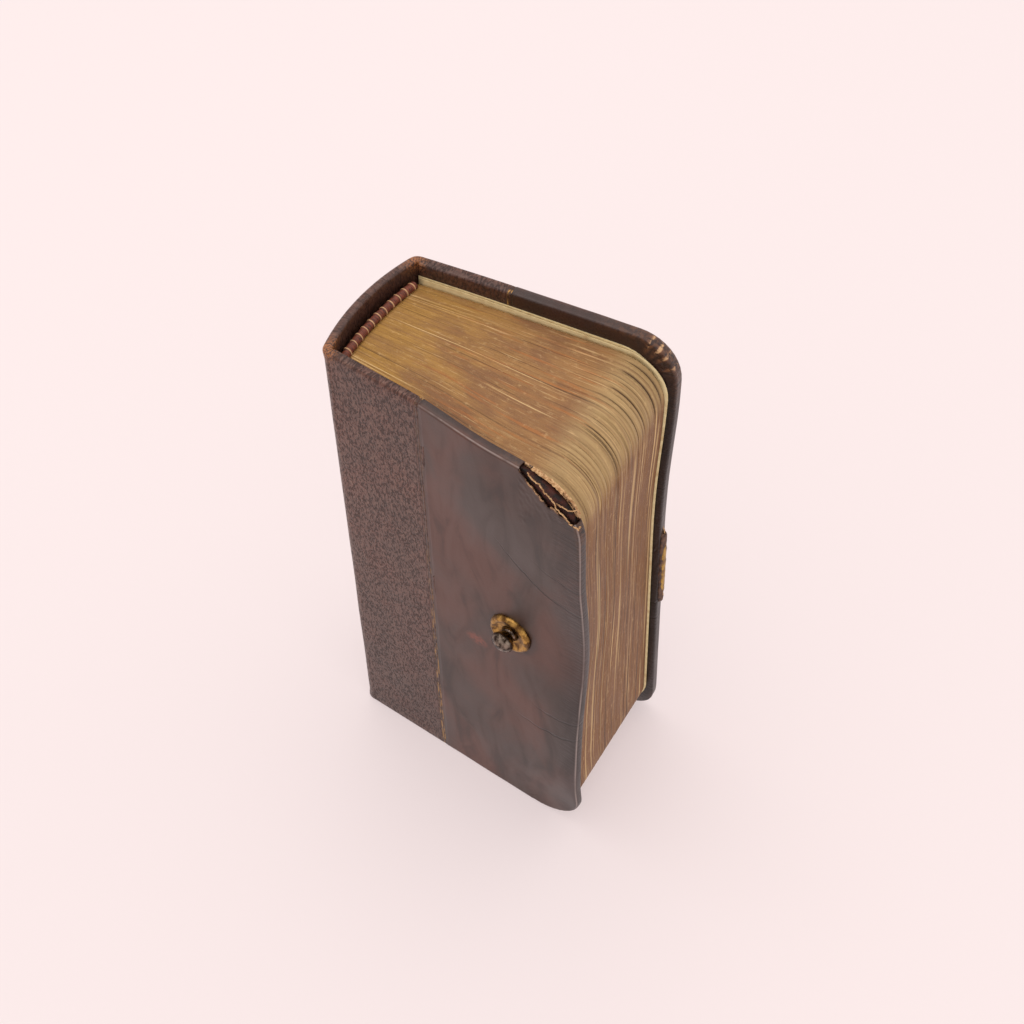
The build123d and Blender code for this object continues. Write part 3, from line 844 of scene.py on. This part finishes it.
def wearShell(bm, side):
    # Lays the leather on the warped cover with its wear, and returns what is worn away
    lay = bm.verts.layers.float_vector["lay"]
    worn = bm.verts.layers.float["worn"]
    folded = bm.verts.layers.float["folded"]
    # Fine mesh round the head corner, where the leather is worn through or pleated
    fine = []
    for edge in bm.edges:
        middle = (edge.verts[0].co + edge.verts[1].co) / 2
        if middle.x > sided["fineAcross"] and middle.y > sided["fineHeight"]:
            fine.append(edge)
    bmesh.ops.subdivide_edges(bm, edges=fine, cuts=2, use_grid_fill=True)
    doomed = []
    for vert in bm.verts:
        across, height, level = vert[lay]
        angle, inside = cornerAngle(side, across, height)
        degrees = math.degrees(angle)
        rim = ease(1.6, -0.2, inside) if inside >= 0 else 1
        mark = 0.35 * rim * ease(100, 122, height) * ease(40, 56, across)
        tailCorner = ease(12, 3, height) * ease(56, 62, across)
        mark = max(mark, 0.6 * tailCorner * rim)
        if side == front:
            hole = holeEdge(angle)
            if hole > 0.4:
                if level > book["inner"][side] + 0.25 and inside < hole:
                    doomed.append(vert)
                mark = max(mark, 0.9 * ease(hole + 0.7, hole + 0.1, inside) if level > -1 else 0)
                if level <= -1.5:
                    mark = max(mark, ease(3.2, 1.0, inside))
                level += 0.1 * wander(across * 1.3, height * 1.3)
        else:
            near = ease(0, 25, degrees) * ease(80, 60, degrees)
            pleat = 0.5 + 0.5 * math.sin(degrees * 0.42 + 2 * wander(degrees * 0.07))
            if level < 0.1:
                level -= sided["pleatDepth"] * near * pleat * ease(9, 1, inside)
                mark = max(mark, 0.95 * near * ease(4.5, 0.3, inside) * ease(0.35, 0.9, pleat))
            swell = hump(strap["height"], 9, height) * ease(60, 63.3, across)
            if swell > 0.02 and inside < 0.6:
                across += 0.2 * swell
        waves = wander(across * 0.12, height * 0.1, side) * ease(0, 2, across - book["seam"])
        level += sided["waviness"] * waves
        vert[worn] = mark
        vert[folded] = ease(0.9, 0.3, inside)
        vert[lay] = (across, height, level)
        vert.co = layPoint(side, across, level, height)
    return doomed


def sidedPiece(side, name):
    bm = sidedShell(side)
    bmesh.ops.delete(bm, geom=wearShell(bm, side), context="VERTS")
    loose = [v for v in bm.verts if not v.link_faces]
    bmesh.ops.delete(bm, geom=loose, context="VERTS")
    material = materials["smoothFront" if side == front else "smoothBack"]
    piece = finishMesh(name, bm, material, sided["thickness"], flip=side == back)
    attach(piece, "front_cover" if side == front else "back_cover")
    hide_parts("front_siding" if side == front else "back_siding")
    return piece


sidedPiece(front, "frontSiding")
sidedPiece(back, "backSiding")
print("smooth leather made")

# Boards and endpapers, warped with the covers


def panelPiece(name, side, node, body, material, looks):
    look = {word: value[side] if isinstance(value, dict) else value for word, value in looks.items()}
    rows = cornerRows(0, look["corner"], look["low"], look["high"], look["step"])
    columns = look["columns"]
    bm, lay, spots = makeGrid(columns, len(rows))
    for vert, (column, row) in spots.items():
        height, short = rows[row][:2]
        end = look["end"] - short
        across = mix(look["start"], end, column / (columns - 1))
        height += look.get("slope", 0) * across / book["width"] * ease(80, 125, height)
        level = look["level"]
        if look.get("rough"):
            ragged = look["rough"] * (0.5 + wander(across, height))
            level -= ragged * ease(54, 60, across) * ease(113, 119, height)
        vert[lay] = (across, height, level)
        if "offLeaves" in look:
            vert.co = textPoint(across, height, 0 if side == front else 1)
            vert.co.y += side * look["offLeaves"]
        else:
            vert.co = layPoint(side, across, level, height)
    piece = finishMesh(name, bm, material, look["thickness"], flip=side == back)
    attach(piece, body)
    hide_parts(node)
    return piece


sides = (front, back)
boardLook = {
    "corner": {side: book["corners"][side] - 0.8 for side in sides},
    "low": 0.9,
    "high": coverHeight - 0.9,
    "start": 1.7,
    "end": 62.6,
    "level": -0.4,
    "thickness": {side: -book["inner"][side] - 0.8 for side in sides},
    "rough": {front: 0.7, back: 0},
    "step": 1.5,
    "columns": 60,
}
pastedLook = {
    "corner": 9.6,
    "low": 3.4,
    "high": coverHeight - 3.2,
    "slope": -0.7,
    "start": 1.7,
    "end": 60.1,
    "level": {side: book["inner"][side] - 0.06 for side in sides},
    "thickness": 0.15,
    "step": 3.0,
    "columns": 40,
}
leafLook = {
    "corner": 10.0,
    "low": 3.5,
    "high": {front: 120.6, back: 121.7},
    "slope": {front: 0, back: -1.1},
    "start": 2.1,
    "end": 61.8,
    "level": 0,
    "offLeaves": {front: 0.16, back: 0.8},
    "thickness": 0.12,
    "step": 3.0,
    "columns": 40,
}
for side, word in ((front, "front"), (back, "back")):
    cover = word + "_cover"
    board = panelPiece(word + "Core", side, word + "_board", cover, materials["board"], boardLook)
    paper = materials["endpaper"]
    pasted = panelPiece(word + "Pasted", side, word + "_pastedown", cover, paper, pastedLook)
    leaf = panelPiece(word + "Leaf", side, word + "_flyleaf", "root", paper, leafLook)
print("boards and endpapers made")

# The leaves: one block, stepped leaf by leaf

leaves = {
    "steps": 210,
    "corner": 10.0,
    "relief": 0.06,
    "unevenness": 0.1,
    "cornerRelief": 0.3,
    "wave": 0.008,
    "endRings": 12,
    "middle": (31, 62),
    "layThickness": 34,
}


def leafOutline():
    # (across, height, outward, run) round one leaf, from the back of the tail edge
    low, high = book["tail"], book["head"]
    start, end, corner = book["textStart"], book["textWidth"], leaves["corner"]
    spots = [(start, h, (-1, 0)) for h in spread(low + 4, high - 4, 12)]
    spots += [(x, high, (0, 1)) for x in spread(start, end - corner, 34)]
    for a in spread(0, 90, 14)[1:-1]:
        turn = math.radians(a)
        out = (math.sin(turn), math.cos(turn))
        spots.append((end - corner + corner * out[0], high - corner + corner * out[1], out))
    spots += [(end, h, (1, 0)) for h in spread(high - corner, low + corner, 56)]
    for a in spread(0, 90, 10)[1:-1]:
        turn = math.radians(a)
        out = (math.cos(turn), -math.sin(turn))
        spots.append((end - corner + corner * out[0], low + corner + corner * out[1], out))
    spots += [(x, low, (0, -1)) for x in spread(end - corner, start, 20)]
    run = 0
    outline = []
    for i, (across, height, out) in enumerate(spots):
        if i:
            run += math.dist((across, height), spots[i - 1][:2])
        outline.append((across, height, out, run))
    return outline


def leafBlock():
    outline = leafOutline()
    steps = leaves["steps"]
    count = len(outline)
    high, corner = book["head"], leaves["corner"]
    random.seed(7)
    jitter = [random.random() for _ in range(steps + 1)]
    bm = bmesh.new()
    bmesh.ops.create_circle(bm, cap_ends=True, segments=count, radius=1)
    lay = bm.verts.layers.float_vector.new("lay")
    number = bm.verts.layers.int.new("number")
    bm.verts.ensure_lookup_table()
    loop = bm.faces[:][0].verts[:]
    for i, vert in enumerate(loop):
        vert[number] = i

    def place(verts, step):
        for vert in verts:
            across, height, out, run = outline[vert[number]]
            depth = step / steps
            groove = leaves["relief"] * (jitter[step] ** 2 + 0.5 * (step % 2))
            groove += leaves["unevenness"] * (0.5 + 0.5 * wander(step * 0.31, run * 0.004))
            groove *= mix(0.3, 1, ease(10, 45, across))
            spot = Vector((across - (book["textWidth"] - corner), height - (high - corner)))
            inCorner = ease(-3, 4, spot.x) * ease(-7, 3, spot.y)
            loose = 0.5 + 0.9 * wander(step * 0.17, run * 0.05, 4)
            loose *= leaves["cornerRelief"] * inCorner
            groove += max(loose, 0) + 0.25 * inCorner * (jitter[step] > 0.86)
            wave = leaves["wave"] * wander(run * 0.02, step * 0.03, 9)
            depth += wave * ease(0, 0.1, depth) * ease(1, 0.9, depth)
            groove *= 0.25 if out == (-1, 0) else 1
            vert[lay] = (run, step / steps * leaves["layThickness"], groove)
            vert.co = textPoint(across - out[0] * groove, height - out[1] * groove, depth)

    place(loop, 0)
    face = bm.faces[:][0]
    for step in range(1, steps + 1):
        region = [face, *face.edges, *face.verts]
        made = bmesh.ops.extrude_face_region(bm, geom=region, use_keep_orig=step == 1)["geom"]
        verts = [g for g in made if isinstance(g, bmesh.types.BMVert)]
        face = [g for g in made if isinstance(g, bmesh.types.BMFace)][0]
        place(verts, step)
    # The outer leaves follow the warped covers, so their faces are stepped in to the middle
    first = [f for f in bm.faces if len(f.verts) == count and f is not face][0]
    for cap, depth in ((face, 1), (first, 0)):
        for ring in range(1, leaves["endRings"]):
            share = ring / leaves["endRings"]
            made = bmesh.ops.extrude_face_region(bm, geom=[cap, *cap.edges, *cap.verts])["geom"]
            cap = [g for g in made if isinstance(g, bmesh.types.BMFace)][0]
            for vert in cap.verts:
                across, height, out, run = outline[vert[number]]
                middleAcross, middleHeight = leaves["middle"]
                across = mix(across, middleAcross, share)
                vert.co = textPoint(across, mix(height, middleHeight, share), depth)
    bmesh.ops.recalc_face_normals(bm, faces=bm.faces[:])
    if bm.calc_volume(signed=True) < 0:
        bmesh.ops.reverse_faces(bm, faces=bm.faces[:])
    return finishMesh("leafBlock", bm, materials["gilt"])


block = leafBlock()
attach(block, "root")
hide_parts("text_block")
print("leaves made")

# Sewn bands

band = {"radius": 0.9, "rings": 11.5, "length": 26.0, "ringHeight": 0.14, "roughness": 0.08}


def bandPiece(name, node, height):
    columns, rows = 241, 17
    bm, lay, spots = makeGrid(columns, rows)
    for vert, (column, row) in spots.items():
        share = column / (columns - 1)
        angle = 2 * math.pi * row / (rows - 1)
        depth = mix(0.03, 0.97, share)
        phase = share * band["rings"] + 0.12 * wander(share * 9)
        ring = (0.5 + 0.5 * math.cos(2 * math.pi * phase)) ** 12
        radius = band["radius"] + band["ringHeight"] * ring
        radius += band["roughness"] * wander(share * 14, angle)
        radius *= ease(0, 0.012, share) * ease(1, 0.988, share)
        centre = textPoint(book["textStart"] + 0.25, height, depth)
        vert[lay] = (share * band["length"], angle, ring)
        vert.co = centre + Vector((math.cos(angle) * radius, 0, math.sin(angle) * radius * 1.1))
    bmesh.ops.remove_doubles(bm, verts=bm.verts[:], dist=0.0005)
    bmesh.ops.recalc_face_normals(bm, faces=bm.faces[:])
    piece = finishMesh(name, bm, materials["band"])
    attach(piece, "root")
    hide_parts(node)


bandPiece("headBand", "head_band", book["head"] + 0.55)
bandPiece("tailBand", "tail_band", book["tail"] - 0.55)
print("bands made")

# Torn skin round the worn corner and at the strap: pale strands

# Each strand runs through points (across, height) on the cover
tornCorner = {
    "lower": [
        (51.2, 124.9),
        (52.6, 123.5),
        (54.0, 123.4),
        (55.2, 121.8),
        (57.0, 120.9),
        (58.0, 119.0),
        (59.9, 118.0),
        (61.0, 116.9),
        (62.9, 116.6),
        (63.5, 118.0),
    ],
    "cross": [(57.6, 120.0), (58.6, 119.9), (60.4, 119.9), (61.5, 120.6), (62.4, 121.6)],
    "upper": [(51.4, 125.0), (53.5, 124.7), (56.0, 124.0), (58.6, 122.8), (60.6, 121.2), (62.2, 119.0)],
}
strapStrands = {
    "top": [(63.3, 73.5), (63.9, 71.5), (63.8, 69.8), (64.2, 67.5), (64.1, 65.0)],
    "low": [(64.0, 50.5), (64.3, 49.2), (63.9, 48.0), (63.6, 47.2)],
}


def strandPiece(name, side, body, strands):
    # Each strand has its points, its level and its radius in mm
    data = bpy.data.curves.new(name + "Line", "CURVE")
    data.dimensions = "3D"
    data.bevel_resolution = 1
    data.bevel_depth = 0.001
    for k, (points, level, radius) in enumerate(strands):
        spline = data.splines.new("POLY")
        path = []
        for start, end in zip(points, points[1:]):
            path += [Vector(start).lerp(Vector(end), t / 6) for t in range(6)]
        path.append(Vector(points[-1]))
        spline.points.add(len(path) - 1)
        for i, (target, spot) in enumerate(zip(spline.points, path)):
            stray = Vector((wander(i * 0.8, k), wander(i * 0.8, k + 5))) * 0.28
            out = level + 0.25 * wander(i * 0.6, k + 9)
            place = layPoint(side, spot.x + stray.x, out, spot.y + stray.y) * mm
            target.co = (*place, 1)
            target.radius = radius * (0.8 + 0.7 * abs(wander(i * 0.9, k + 3)))
    line = bpy.data.objects.new(name + "Line", data)
    scene.collection.objects.link(line)
    bpy.context.view_layer.update()
    depsgraph = bpy.context.evaluated_depsgraph_get()
    mesh = bpy.data.meshes.new_from_object(line.evaluated_get(depsgraph))
    bpy.data.objects.remove(line)
    bpy.data.curves.remove(data)
    mesh.name = name
    piece = bpy.data.objects.new(name, mesh)
    scene.collection.objects.link(piece)
    mesh.materials.clear()
    mesh.materials.append(materials["fibre"])
    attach(piece, body)


cornerLines = [
    (tornCorner["lower"], 0.32, 0.17),
    (tornCorner["cross"], -0.1, 0.16),
    (tornCorner["upper"], -1.3, 0.3),
    (tornCorner["upper"][:4], -0.9, 0.34),
]
strapLines = [(strapStrands["top"], -0.9, 0.16), (strapStrands["low"], -1.0, 0.18)]
strandPiece("cornerStrands", front, "front_cover", cornerLines)
strandPiece("strapStrands", back, "back_cover", strapLines)
print("torn strands made")

# Clasp stud and its washer


def claspFrame():
    spot = coverPoint(front, clasp["across"], book["face"], clasp["height"])
    slide, bow = coverShift(front, clasp["across"], clasp["height"])
    spot.x -= slide
    spot.y += bow
    out = Vector((-math.sin(lean), -math.cos(lean), 0))
    right = Vector((math.cos(lean), -math.sin(lean), 0))
    up = Vector((0, 0, 1))
    turn = Matrix((right, up, out)).transposed().to_4x4()
    turn.translation = spot
    return turn


def turnedPiece(name, node, profile, steps, material):
    bm = bmesh.new()
    verts = [bm.verts.new((radius, 0, level)) for radius, level in profile]
    edges = [bm.edges.new(pair) for pair in zip(verts, verts[1:])]
    bmesh.ops.spin(
        bm,
        geom=verts + edges,
        cent=(0, 0, 0),
        axis=(0, 0, 1),
        dvec=(0, 0, 0),
        angle=2 * math.pi,
        steps=steps,
        use_merge=True,
    )
    bmesh.ops.remove_doubles(bm, verts=bm.verts[:], dist=0.001)
    bmesh.ops.recalc_face_normals(bm, faces=bm.faces[:])
    for vert in bm.verts:
        spots = [vert.co * 0.9 + Vector((k * 7, 3, 1)) for k in range(3)]
        vert.co += clasp["dents"] * Vector([wander(*spot) for spot in spots])
    bmesh.ops.transform(bm, matrix=claspFrame(), verts=bm.verts[:])
    piece = finishMesh(name, bm, material)
    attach(piece, "front_cover")
    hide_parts(node)
    return piece


# Profiles as (radius, height above the cover)
washerProfile = [
    (1.2, 0.1),
    (1.2, 0.4),
    (2.6, 0.42),
    (3.3, 0.55),
    (3.8, 0.95),
    (4.3, 1.15),
    (4.8, 0.95),
    (5.15, 0.45),
    (5.25, 0.0),
    (5.2, -0.3),
    (1.2, -0.3),
    (1.2, 0.1),
]
knobProfile = [
    (0, 4.7),
    (0.9, 4.62),
    (1.5, 4.35),
    (2.3, 3.9),
    (2.7, 3.3),
    (2.65, 2.7),
    (2.2, 2.0),
    (1.55, 1.5),
    (1.7, 0.9),
    (2.1, 0.5),
    (1.0, 0.3),
    (1.0, -2.6),
    (0, -2.6),
]
washer = turnedPiece("claspWasher", "clasp_washer", washerProfile, 64, materials["brass"])
knob = turnedPiece("claspKnob", "clasp_stud", knobProfile, 12, materials["bronze"])
print("clasp stud made")

# What is left of the strap, on the back cover's fore-edge

stubLook = {"length": 24, "width": 2.2, "thickness": 0.7, "out": 0.25, "rough": 0.5}
plateLook = {"length": 16, "width": 1.5, "thickness": 0.5, "out": 0.6, "rough": 0.15}


def strapPiece(name, node, look, material):
    # Oval strip lying along the fore-edge
    columns, rows = 61, 9
    bm, lay, spots = makeGrid(columns, rows)
    for vert, (column, row) in spots.items():
        along = 2 * column / (columns - 1) - 1
        side = 2 * row / (rows - 1) - 1
        half = look["width"] / 2 * max(1 - abs(along) ** 6, 0) ** 0.5
        height = strap["height"] + along * look["length"] / 2
        level = strap["level"] + side * half
        level += look["rough"] * 0.3 * wander(height * 0.8, side)
        across = strap["across"] + look["out"] - look["thickness"] * 0.5 * abs(side) ** 3
        across += look["rough"] * 0.4 * wander(height * 0.6, side * 2, 3)
        vert[lay] = (across, height, level)
        vert.co = layPoint(back, across, level, height)
    piece = finishMesh(name, bm, material, look["thickness"])
    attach(piece, "back_cover")
    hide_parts(node)
    return piece


stub = strapPiece("strapStub", "strap_stub", stubLook, materials["strap"])
plate = strapPiece("strapPlate", "strap_plate", plateLook, materials["ochre"])
print("strap remnant made")

# Plain materials on the CAD nodes that stay in view

kept = {
    "spine_lining": "cloth",
    "sewing_cord_head": "cord",
    "sewing_cord_middle": "cord",
    "sewing_cord_tail": "cord",
    "spine_inlay": "card",
    "clasp_burr": "brass",
}
for node, word in kept.items():
    mesh = frame["nodes"][node].data
    mesh.materials.clear()
    mesh.materials.append(materials[word])

# Floor, light and camera

stage = {
    "floor": "#b2abaa",
    "glow": "#f5e5e6",
    "glowStrength": 0.51,
    "size": 2.4,
    "world": "#fff8f6",
    "worldStrength": 1.0,
}
bm = bmesh.new()
bmesh.ops.create_grid(bm, x_segments=2, y_segments=2, size=stage["size"] / 2)
mesh = bpy.data.meshes.new("floor")
bm.to_mesh(mesh)
bm.free()
floor = bpy.data.objects.new("floor", mesh)
scene.collection.objects.link(floor)
# Matt backdrop paper, lit evenly enough to show a soft shadow only
floorMaterial, _, finishFloor = newMaterial("paperBackdrop")
finishFloor(
    {
        "Base Color": colour(stage["floor"]),
        "Roughness": 0.9,
        "Specular IOR Level": 0.1,
        "Emission Color": colour(stage["glow"]),
        "Emission Strength": stage["glowStrength"],
    }
)
mesh.materials.append(floorMaterial)

world = bpy.data.worlds.new("studio")
scene.world = world
world.use_nodes = True
world.node_tree.nodes["Background"].inputs[0].default_value = colour(stage["world"])
world.node_tree.nodes["Background"].inputs[1].default_value = stage["worldStrength"]


lightTop = {"spot": (-0.2, 0.1, 1.0), "aim": (0, 0, 0.05), "size": 0.7, "power": 2.4, "tint": "#fff6f2"}
light = bpy.data.lights.new("lightTop", "AREA")
light.shape = "SQUARE"
light.size = lightTop["size"]
light.energy = lightTop["power"]
light.color = colour(lightTop["tint"])[:3]
lamp = bpy.data.objects.new("lightTop", light)
scene.collection.objects.link(lamp)
lamp.location = lightTop["spot"]
aim = Vector(lightTop["aim"]) - Vector(lightTop["spot"])
lamp.rotation_euler = aim.to_track_quat("-Z", "Y").to_euler()

shot = {
    "spot": (hingeX + 162.05, midY - 195.53, 365.55),
    "yaw": 33.338,
    "pitch": 50.767,
    "roll": -1.007,
    "lens": 59.77,
}
yaw, pitch, roll = (math.radians(shot[word]) for word in ("yaw", "pitch", "roll"))
away = Vector((math.sin(yaw) * math.cos(pitch), -math.cos(yaw) * math.cos(pitch), math.sin(pitch)))
right = (-away).cross(Vector((0, 0, 1))).normalized()
up = right.cross(-away)
tiltedRight = math.cos(roll) * right + math.sin(roll) * up
tiltedUp = math.cos(roll) * up - math.sin(roll) * right
cameraData = bpy.data.cameras.new("camera")
cameraData.lens = shot["lens"]
cameraData.sensor_width = 36
cameraData.clip_start = 0.01
camera = bpy.data.objects.new("camera", cameraData)
scene.collection.objects.link(camera)
turn = Matrix((tiltedRight, tiltedUp, away)).transposed().to_4x4()
turn.translation = Vector(shot["spot"]) * mm
camera.matrix_world = turn
scene.camera = camera
scene.view_settings.view_transform = "Standard"
print("stage made")
